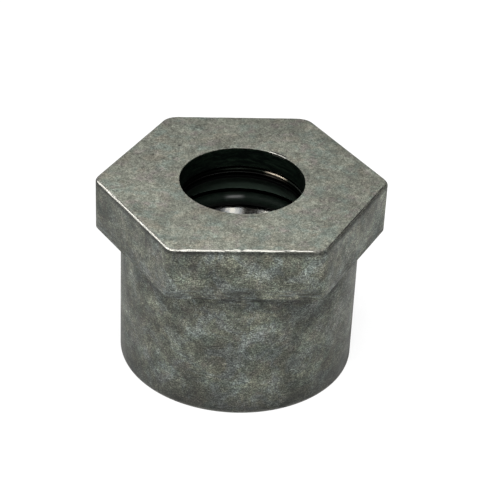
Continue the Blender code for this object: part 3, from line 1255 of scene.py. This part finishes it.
    def painted_rim_reflection(self, place: Vector) -> float:
        """How dark the painted reflection in the top rim's rounding and just below it makes the coating:
        painted shade that stands for the dark surroundings the rounding reflects.

        Args:
            place: A point of the body.

        Returns:
            One where nothing is painted.
        """
        if math.hypot(place.x, place.y) < self.spigot_radius:
            return 1.0
        drop = self.height - place.z
        above = smooth_step(*self.rim_reflection_start, drop / self.rim_round)
        below = smooth_step(self.rim_round, self.rim_reflection_depth, drop)
        return 1.0 - (1.0 - self.rim_reflection_darkness) * above * (1.0 - below)

    def frosted(self, place: Vector) -> float:
        """How frosty the sides are: most in the middle of the front.

        Args:
            place: A point of the body.

        Returns:
            Zero to one.
        """
        around = math.atan2(place.y, place.x) - self.frost_side
        front = max(0.0, math.cos(around)) ** 2
        return self.side(place) * (self.frost_least + (1.0 - self.frost_least) * front)

    def scuffed(self, place: Vector) -> float:
        """One along the shoulder's outer edge, falling to zero above and below it."""
        radius = math.hypot(place.x, place.y)
        outside = smooth_step(self.clip_groove_radius, self.spigot_radius, radius)
        return outside * (1.0 - smooth_step(*self.scuff_reach, abs(place.z - self.spigot_length)))

    def build(self) -> bpy.types.Object:
        """Model the body and dress it.

        Returns:
            The piece.
        """
        shape = turned_shape(self.corners(), self.steps, self.section_edge)
        self.mill_hexagon(shape)
        self.dent_edges(shape)
        bmesh.ops.recalc_face_normals(shape, faces=shape.faces)
        piece = as_object(shape, "turned_body")
        rules = {
            EDGE_WEAR: self.wear,
            BARE_BORE: self.bore,
            PAINTED_SHADING: self.painted_light_and_shade,
            SIDE_STAIN: self.side,
            SCUFFED: self.scuffed,
            FROSTED: self.frosted,
        }
        for name, rule in rules.items():
            store_values(piece, name, rule)
        return hand_over(piece, "hex_body", MottledSteel().build())


@dataclass
class GripWire:
    """Split ring of round wire in the mouth's groove."""

    wire_radius: float = 0.4 * MM
    ring_radius: float = 8.2 * MM
    height: float = 21.6 * MM
    opening: float = math.radians(18.0)
    end_round: float = 0.12 * MM
    rubbed: RubbedArc = RubbedArc(math.radians(53.0), math.radians(12.0))
    section_steps: int = 20
    ring_steps: int = 220
    end_steps: int = 3

    def build(self) -> bpy.types.Object:
        """Spin the wire round from one end to the other, close its ends and dress it.

        Returns:
            The piece.
        """
        shape = bmesh.new()
        first_end = self.opening / 2.0 - QUARTER_TURN
        place = Matrix.Rotation(first_end, 4, "Z") @ wire_place(self.ring_radius, self.height)
        add_circle(shape, self.wire_radius, self.section_steps, place)
        spin(shape, math.tau - self.opening, self.ring_steps)
        ends = [edge for edge in shape.edges if edge.is_boundary]
        bmesh.ops.holes_fill(shape, edges=ends, sides=0)
        round_edges(shape, ends, self.end_round, self.end_steps)
        bmesh.ops.recalc_face_normals(shape, faces=shape.faces)
        piece = as_object(shape, "grip_wire")
        store_values(piece, RUBBED, self.rubbed.at)
        return hand_over(piece, "grip_ring", SPRING_WIRE.build())


@dataclass
class SpacerRing:
    """Matte ring between the lip and the O-ring."""

    outer_radius: float = 11.7 * MM
    inner_radius: float = 9.4 * MM
    bottom: float = 17.95 * MM
    top: float = 20.2 * MM
    edge_round: float = 0.08 * MM
    section_edge: float = 3.0 * MM
    steps: int = 240

    def build(self) -> bpy.types.Object:
        """Model the ring and dress it.

        Returns:
            The piece.
        """
        corners = [
            Corner(self.outer_radius, self.bottom, self.edge_round),
            Corner(self.outer_radius, self.top, self.edge_round),
            Corner(self.inner_radius, self.top, self.edge_round),
            Corner(self.inner_radius, self.bottom, self.edge_round),
        ]
        piece = as_object(turned_shape(corners, self.steps, self.section_edge), "spacer")
        return hand_over(piece, "spacer_ring", GREY_NYLON.build())


@dataclass
class Seal:
    """O-ring with the fine flash line of its mould at mid-height inside and outside."""

    name: str
    node: str
    ring_radius: float
    height: float
    rubber: bpy.types.Material
    section_radius: float = 0.89 * MM
    flash: float = 0.03 * MM
    oiled: RubbedArc = RubbedArc(math.radians(93.0), math.radians(9.0))
    oil_height: float = 0.50 * MM
    oil_fade: Span = (0.20 * MM, 0.50 * MM)
    section_steps: int = 36
    ring_steps: int = 240

    def build(self) -> bpy.types.Object:
        """Model the ring and dress it.

        Returns:
            The piece.
        """
        shape = bmesh.new()
        body_radius = self.section_radius - self.flash
        add_circle(shape, body_radius, self.section_steps, wire_place(self.ring_radius, self.height))
        for vertex in shape.verts:
            aside = vertex.co.x - self.ring_radius
            if abs(aside) > body_radius - MERGE_DISTANCE:
                vertex.co.x += math.copysign(self.flash, aside)
        revolve(shape, self.ring_steps)
        piece = as_object(shape, self.name)
        store_values(piece, RUBBED, self.oil)
        return hand_over(piece, self.node, self.rubber)

    def oil(self, place: Vector) -> float:
        """How oily the ring is: a smear on its inner face.

        Args:
            place: A point of the ring.

        Returns:
            Zero to one.
        """
        aside = abs(place.z - self.height - self.oil_height)
        return self.oiled.at(place) * (1.0 - smooth_step(*self.oil_fade, aside))


@dataclass
class SeatSleeve:
    """Polished sleeve with a cup for the O-ring, a 45 degree seat and an outer groove."""

    outer_radius: float = 11.7 * MM
    bottom: float = 3.4 * MM
    top: float = 17.65 * MM
    cup_radius: float = 10.14 * MM
    cup_floor: float = 15.57 * MM
    seat_radius: float = 9.1 * MM
    bore_radius: float = 8.1 * MM
    groove_radius: float = 9.62 * MM
    groove_heights: Span = (9.31 * MM, 11.69 * MM)
    edge_round: float = 0.3 * MM
    edge_break: float = 0.08 * MM
    seat_round: float = 0.2 * MM
    section_edge: float = 1.5 * MM
    steps: int = 260

    def build(self) -> bpy.types.Object:
        """Model the sleeve and dress it.

        Returns:
            The piece.
        """
        low, high = self.groove_heights
        small = self.edge_break
        seat_end = self.cup_floor - (self.seat_radius - self.bore_radius)
        corners = [
            Corner(self.outer_radius, self.bottom, self.edge_round),
            Corner(self.outer_radius, low, small),
            Corner(self.groove_radius, low, small),
            Corner(self.groove_radius, high, small),
            Corner(self.outer_radius, high, small),
            Corner(self.outer_radius, self.top, self.edge_round),
            Corner(self.cup_radius, self.top, small),
            Corner(self.cup_radius, self.cup_floor, small),
            Corner(self.seat_radius, self.cup_floor, small),
            Corner(self.bore_radius, seat_end, self.seat_round),
            Corner(self.bore_radius, self.bottom, self.edge_round),
        ]
        piece = as_object(turned_shape(corners, self.steps, self.section_edge), "seat")
        return hand_over(piece, "seat_sleeve", GROUND_STEEL.build())


@dataclass
class RetainingClip:
    """Stamped internal circlip with two drilled lugs beside its gap."""

    bottom: float = 1.9 * MM
    thickness: float = 1.2 * MM
    outer_radius: float = 12.6 * MM
    inner_radius: float = 10.3 * MM
    inner_offset: float = 0.5 * MM
    lug_radius: float = 2.0 * MM
    lug_centre: float = 10.5 * MM
    lug_angle: float = math.radians(17.0)
    hole_radius: float = 1.0 * MM
    gap_width: float = 2.4 * MM
    edge_round: float = 0.10 * MM
    edge_steps: int = 2
    hole_steps: int = 36
    lug_steps: int = 28
    arc_steps: int = 150

    def lug_place(self) -> Vector:
        """Centre of the lug on the +X side of the gap."""
        return Vector((math.sin(self.lug_angle), -math.cos(self.lug_angle), 0.0)) * self.lug_centre

    def half_outline(self) -> list[Vector]:
        """Outline of the +X half: from the back along the outside to the gap, and home inside."""
        half_gap = self.gap_width / 2.0
        lug = self.lug_place()
        window = Vector((0.0, -self.inner_offset, 0.0))
        gap_angle = math.asin(half_gap / self.outer_radius)
        outer = self.arc(Vector(), self.outer_radius, math.pi, gap_angle, self.arc_steps)
        meeting = self.window_meets_lug(window, lug)
        lug_start = math.pi + math.asin((lug.x - half_gap) / self.lug_radius)
        lug_end = self.angle_from_front(meeting - lug)
        round_lug = self.arc(lug, self.lug_radius, lug_start, lug_end, self.lug_steps)
        meeting_angle = self.angle_from_front(meeting - window)
        inner = self.arc(window, self.inner_radius, meeting_angle, math.pi, self.arc_steps)
        return outer + round_lug[:-1] + inner

    def arc(self, centre: Vector, radius: float, start: float, end: float, steps: int) -> list[Vector]:
        """Points of an arc, with angles counted from the -Y side towards +X.

        Args:
            centre: Centre of the arc.
            radius: Its radius.
            start: First angle.
            end: Last angle.
            steps: Number of chords.

        Returns:
            The points, in order.
        """
        angles = [start + (end - start) * step / steps for step in range(steps + 1)]
        return [centre + Vector((math.sin(angle), -math.cos(angle), 0.0)) * radius for angle in angles]

    def angle_from_front(self, direction: Vector) -> float:
        """Angle of a direction from the -Y side towards +X."""
        return math.atan2(direction.x, -direction.y)

    def window_meets_lug(self, window: Vector, lug: Vector) -> Vector:
        """Where the inner edge meets the lug, on the side away from the gap.

        Args:
            window: Centre of the inner edge.
            lug: Centre of the lug.

        Returns:
            The meeting point.
        """
        between = lug - window
        apart = between.length
        along = (apart**2 + self.inner_radius**2 - self.lug_radius**2) / (2.0 * apart)
        aside = math.sqrt(self.inner_radius**2 - along**2)
        forwards = between.normalized()
        sideways = Vector((-forwards.y, forwards.x, 0.0))
        return window + forwards * along + sideways * aside

    def build(self) -> bpy.types.Object:
        """Stamp the outline with its holes, thicken it, round its edges and dress it.

        Returns:
            The piece.
        """
        half = self.half_outline()
        other = [Vector((-point.x, point.y, 0.0)) for point in reversed(half)]
        shape = bmesh.new()
        closed_loop(shape, half + other)
        bmesh.ops.remove_doubles(shape, verts=shape.verts, dist=MERGE_DISTANCE)
        lug = self.lug_place()
        for aside in (lug.x, -lug.x):
            add_circle(shape, self.hole_radius, self.hole_steps, Matrix.Translation((aside, lug.y, 0.0)))
        bmesh.ops.triangle_fill(
            shape, use_beauty=True, use_dissolve=False, edges=shape.edges[:], normal=(0.0, 0.0, 1.0)
        )
        raised = bmesh.ops.extrude_face_region(shape, geom=shape.faces[:])
        lifted = [item for item in raised["geom"] if isinstance(item, bmesh.types.BMVert)]
        bmesh.ops.translate(shape, verts=lifted, vec=(0.0, 0.0, self.thickness))
        bmesh.ops.translate(shape, verts=shape.verts, vec=(0.0, 0.0, self.bottom))
        bmesh.ops.recalc_face_normals(shape, faces=shape.faces)
        sharp = [edge for edge in shape.edges if edge.calc_face_angle(0.0) > SHARP_ANGLE]
        rims = [edge for edge in sharp if abs(edge.verts[0].co.z - edge.verts[1].co.z) < MERGE_DISTANCE]
        round_edges(shape, rims, self.edge_round, self.edge_steps)
        piece = as_object(shape, "retaining_clip")
        return hand_over(piece, "circlip", BLACKENED_STEEL.build())


# ---------------------------------------------------------------------------------------------
# Studio


@dataclass(frozen=True)
class SoftLight:
    """A rectangular area light aimed at the object: angles in degrees, sizes in metres, power in watts."""

    name: str
    azimuth: float
    elevation: float
    distance: float
    width: float
    height: float
    power: float
    role: Role

    def build(self, target: Vector) -> None:
        """Hang the light.

        Args:
            target: What it points at.
        """
        light = bpy.data.lights.new(self.name, "AREA")
        light.shape = "RECTANGLE"
        light.size = self.width
        light.size_y = self.height
        light.energy = self.power
        lamp = bpy.data.objects.new(self.name, light)
        away = direction(self.azimuth, self.elevation)
        lamp.location = target + away * self.distance
        lamp.rotation_mode = "QUATERNION"
        lamp.rotation_quaternion = away.to_track_quat("Z", "Y")
        lamp.visible_glossy = self.role is Role.GLINT
        lamp.visible_diffuse = self.role is Role.FILL
        bpy.context.scene.collection.objects.link(lamp)


def direction(azimuth: float, elevation: float) -> Vector:
    """Unit vector towards a viewer: azimuth 0 stands at -Y and 90 at +X, in degrees.

    Args:
        azimuth: Angle round the object.
        elevation: Angle above the floor.

    Returns:
        The vector.
    """
    turn, rise = math.radians(azimuth), math.radians(elevation)
    return Vector((math.sin(turn) * math.cos(rise), -math.cos(turn) * math.cos(rise), math.sin(rise)))


@dataclass
class Studio:
    """Pale floor, soft lights and an even surround."""

    floor_size: float = 3.0
    floor_steps: int = 4
    target: Vector = field(default_factory=lambda: Vector((0.0, 0.0, 12.0 * MM)))
    surround: Colour = (1.0, 1.0, 1.0)
    surround_strength: float = 0.12
    lights: tuple[SoftLight, ...] = (
        SoftLight("front_glint", 14.0, 50.0, 0.60, 0.20, 0.30, 1.20, Role.GLINT),
        SoftLight("upper_glint", -34.0, 76.0, 0.60, 0.44, 0.16, 1.20, Role.GLINT),
        SoftLight("corner_glint", -72.0, 46.0, 0.60, 0.42, 0.18, 3.00, Role.GLINT),
        SoftLight("side_glint", -108.0, 26.0, 0.60, 0.60, 0.16, 1.50, Role.GLINT),
        SoftLight("front_fill", -12.0, 58.0, 0.60, 0.30, 0.30, 4.3, Role.FILL),
        SoftLight("overhead_fill", 0.0, 84.0, 0.70, 0.45, 0.45, 8.6, Role.FILL),
    )

    def build_floor(self) -> None:
        """Lay the floor."""
        shape = bmesh.new()
        steps = self.floor_steps
        bmesh.ops.create_grid(shape, x_segments=steps, y_segments=steps, size=self.floor_size / 2.0)
        floor = as_object(shape, "studio_floor")
        floor.data.materials.append(StudioPaper().build())

    def build_surround(self) -> None:
        """Light the scene evenly from all round."""
        world = bpy.data.worlds.new("surround")
        world.use_nodes = True
        background = world.node_tree.nodes["Background"]
        background.inputs["Color"].default_value = rgba(self.surround)
        background.inputs["Strength"].default_value = self.surround_strength
        bpy.context.scene.world = world

    def build(self) -> None:
        """Set up the studio."""
        self.build_floor()
        self.build_surround()
        for light in self.lights:
            light.build(self.target)
        bpy.context.scene.view_settings.view_transform = "Standard"


@dataclass(frozen=True)
class Viewpoint:
    """The camera: where it stands, what it looks at, and how it is turned, with angles in degrees."""

    azimuth: float = -3.918
    elevation: float = 33.501
    distance: float = 227.178 * MM
    target: Triple = (1.040 * MM, -4.738 * MM, 17.658 * MM)
    roll: float = 2.759
    lens: float = 131.32
    sensor: float = 36.0
    nearest: float = 10.0 * MM

    def build(self) -> None:
        """Place the camera and make it the scene's own."""
        data = bpy.data.cameras.new("viewpoint")
        data.lens = self.lens
        data.sensor_width = self.sensor
        data.clip_start = self.nearest
        camera = bpy.data.objects.new("viewpoint", data)
        away = direction(self.azimuth, self.elevation)
        camera.location = Vector(self.target) + away * self.distance
        camera.rotation_mode = "QUATERNION"
        turned = Quaternion((0.0, 0.0, 1.0), math.radians(self.roll))
        camera.rotation_quaternion = away.to_track_quat("Z", "Y") @ turned
        bpy.context.scene.collection.objects.link(camera)
        bpy.context.scene.camera = camera


def main() -> None:
    """Build the camera, the pieces from the outside in, and the studio."""
    logging.basicConfig(level=logging.INFO, format="%(message)s")
    Viewpoint().build()
    rubber = BLACK_RUBBER.build()
    parts = (
        TurnedBody(),
        GripWire(),
        SpacerRing(),
        Seal("bore_seal", "bore_o_ring", 8.95 * MM, 16.76 * MM, rubber),
        SeatSleeve(),
        Seal("sleeve_seal", "sleeve_o_ring", 10.81 * MM, 10.5 * MM, rubber),
        RetainingClip(),
    )
    for part in parts:
        piece = part.build()
        LOG.info("%s: %d faces", piece.name, len(piece.data.polygons))
    Studio().build()


if __name__ == "__main__":
    main()
